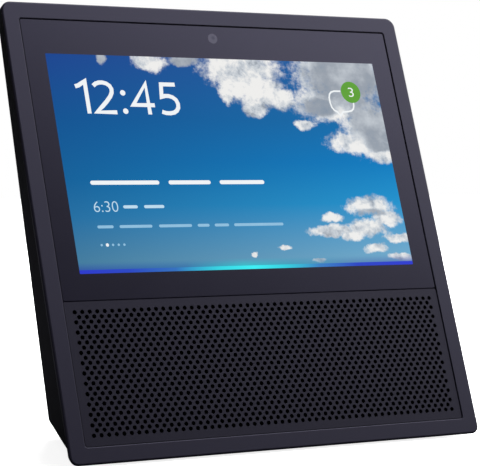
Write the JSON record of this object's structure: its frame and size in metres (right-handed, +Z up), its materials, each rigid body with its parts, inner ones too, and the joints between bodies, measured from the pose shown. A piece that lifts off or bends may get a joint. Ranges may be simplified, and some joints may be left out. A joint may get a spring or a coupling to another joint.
{
  "type": "smart display",
  "caption": "Free-standing smart display: a square leaning face with a touch screen above a perforated speaker grille, and a wedge-shaped case behind.",
  "frame": {"origin": "middle of the object's footprint box, on the table", "axes": "+X to the viewer's right, the face looks along -Y, +Z up"},
  "size_m": [0.187, 0.09, 0.1772],
  "materials": {
    "aluminium": "extruded",
    "black_cloth": "fine open weave",
    "black_foam": "foam tape",
    "black_plastic": "moulded",
    "black_rubber": "soft",
    "box_plastic": "moulded",
    "cable_film": "polyimide film",
    "case_plastic": "fine texture",
    "chassis_plastic": "moulded",
    "chip_black": "moulded package",
    "circuit_board": "solder mask",
    "clear_film": "clear laminated film",
    "cone_paper": "treated paper",
    "copper": "enamelled copper",
    "cover_glass": "polished, printed black behind the border",
    "ferrite": "sintered, matt",
    "foot_rubber": "matt",
    "frame_plastic": "satin, moulded",
    "grille_metal": "satin powder coat",
    "key_plastic": "satin",
    "lcd": "lit screen",
    "lens_glass": "coated lens",
    "plated_steel": "nickel plated",
    "spider_cloth": "resin-stiffened weave",
    "steel": "zinc plated",
    "thermal_pad": "soft pad",
    "white_plastic": "moulded"
  },
  "bodies": {
    "display": {"acoustic_mesh": "black_cloth", "aerials": "copper", "backlight_tray": "steel", "baffle_seal": "black_foam", "base_foot": "foot_rubber", "board_screws": "steel", "board_sockets": "white_plastic", "camera_barrel": "black_plastic", "camera_lens": "lens_glass", "camera_module": "black_plastic", "chassis": "chassis_plastic", "cover_glass": "cover_glass", "cover_screws": "steel", "driver_magnets": "ferrite", "driver_screws": "steel", "driver_top_plates": "plated_steel", "driver_yokes": "plated_steel", "flat_cables": "cable_film", "frame_screws": "steel", "front_frame": "frame_plastic", "glass_gasket": "black_foam", "heat_sink": "aluminium", "inlet_pin": "plated_steel", "key_switches": "black_plastic", "lcd_panel": "lcd", "left_basket": "steel", "light_sensor": "black_plastic", "main_board": "circuit_board", "microphone_board": "circuit_board", "microphone_gaskets": "black_rubber", "microphones": "plated_steel", "power_board": "circuit_board", "power_inlet": "black_plastic", "processor": "chip_black", "radio_shield": "plated_steel", "rear_cover": "case_plastic", "right_basket": "steel", "service_port": "plated_steel", "speaker_baffle": "box_plastic", "speaker_box": "box_plastic", "speaker_grille": "grille_metal", "speaker_leads": "black_rubber", "thermal_pad": "thermal_pad", "touch_film": "clear_film"},
    "mute_button": {"mute_key": "key_plastic", "mute_plunger": "white_plastic"},
    "volume_down_button": {"volume_down_key": "key_plastic", "volume_down_plunger": "white_plastic"},
    "volume_up_button": {"volume_up_key": "key_plastic", "volume_up_plunger": "white_plastic"},
    "left_diaphragm": {"left_cone": "cone_paper", "left_dust_cap": "cone_paper", "left_voice_coil": "copper", "left_surround": "black_rubber", "left_spider": "spider_cloth"},
    "right_diaphragm": {"right_cone": "cone_paper", "right_dust_cap": "cone_paper", "right_voice_coil": "copper", "right_surround": "black_rubber", "right_spider": "spider_cloth"}
  },
  "joints": [
    {"name": "mute_press", "type": "slide", "parent": "display", "child": "mute_button", "axis": [0, 0, -1], "range_m": [0, 0.0006], "stiffness_N_per_m": 1500, "springref_m": -0.0002},
    {"name": "volume_down_press", "type": "slide", "parent": "display", "child": "volume_down_button", "axis": [0, 0, -1], "range_m": [0, 0.0006], "stiffness_N_per_m": 1500, "springref_m": -0.0002},
    {"name": "volume_up_press", "type": "slide", "parent": "display", "child": "volume_up_button", "axis": [0, 0, -1], "range_m": [0, 0.0006], "stiffness_N_per_m": 1500, "springref_m": -0.0002},
    {"name": "left_cone_travel", "type": "slide", "parent": "display", "child": "left_diaphragm", "axis": [0, -0.9397, 0.342], "range_m": [-0.0015, 0.0015], "stiffness_N_per_m": 1700, "deforming": ["left_surround", "left_spider"]},
    {"name": "right_cone_travel", "type": "slide", "parent": "display", "child": "right_diaphragm", "axis": [0, -0.9397, 0.342], "range_m": [-0.0015, 0.0015], "stiffness_N_per_m": 1700, "deforming": ["right_surround", "right_spider"]}
  ]
}
